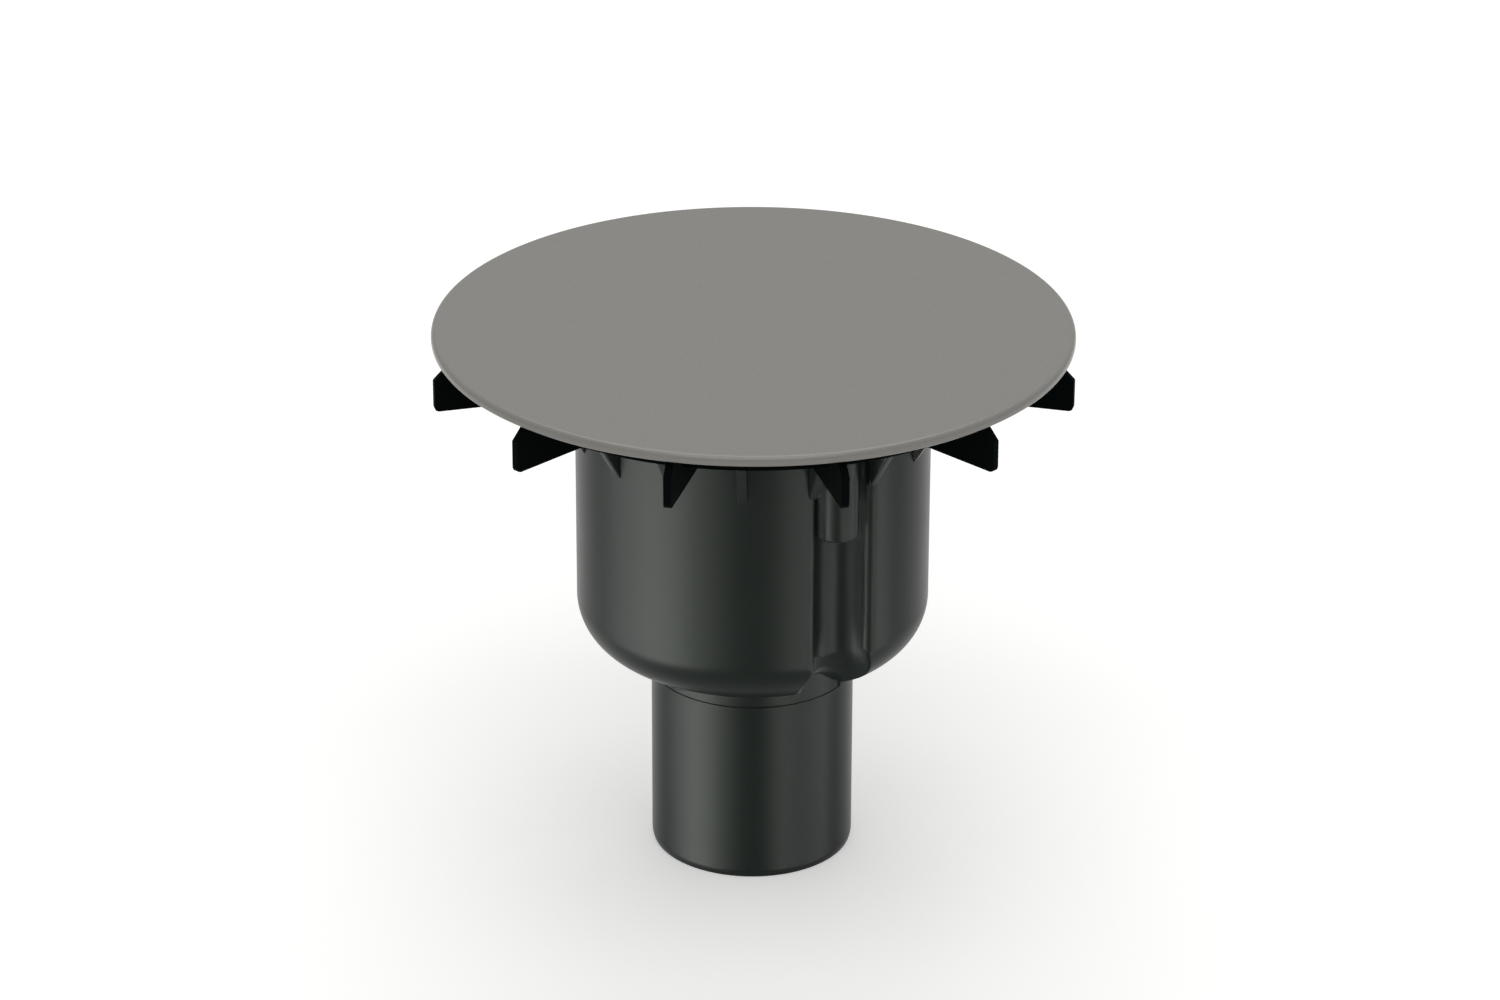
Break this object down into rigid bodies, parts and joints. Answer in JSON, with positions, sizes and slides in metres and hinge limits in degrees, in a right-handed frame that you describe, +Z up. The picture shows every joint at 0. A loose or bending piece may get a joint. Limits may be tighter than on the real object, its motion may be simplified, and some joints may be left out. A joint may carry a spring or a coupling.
{
  "type": "shower tray drain",
  "caption": "Shower tray drain with a round enamelled cover on a finned carrier, a clamped flange, a moulded cup with a bell trap inside and a vertical push-fit outlet.",
  "frame": {"origin": "centre of the outlet's lower end, which the drain stands on", "axes": "+Z up along the outlet to the cover, the two clamp screws on the Y axis, -Y towards one of them"},
  "size_m": [0.1554, 0.1554, 0.1382],
  "materials": {
    "cover_enamel": "satin",
    "carrier_plastic": "matte",
    "body_plastic": "satin",
    "bell_plastic": "satin",
    "stainless_steel": "brushed",
    "insert_brass": "turned",
    "seal_rubber": "matte"
  },
  "bodies": {
    "root": {"cover_plate": "cover_enamel", "fin_carrier": "carrier_plastic", "clamp_flange": "stainless_steel", "upper_seal": "seal_rubber", "lower_seal": "seal_rubber", "trap_body": "body_plastic", "threaded_inserts": "insert_brass", "flange_screws": "stainless_steel", "outlet_spigot": "body_plastic", "trap_bell": "bell_plastic"}
  },
  "joints": []
}
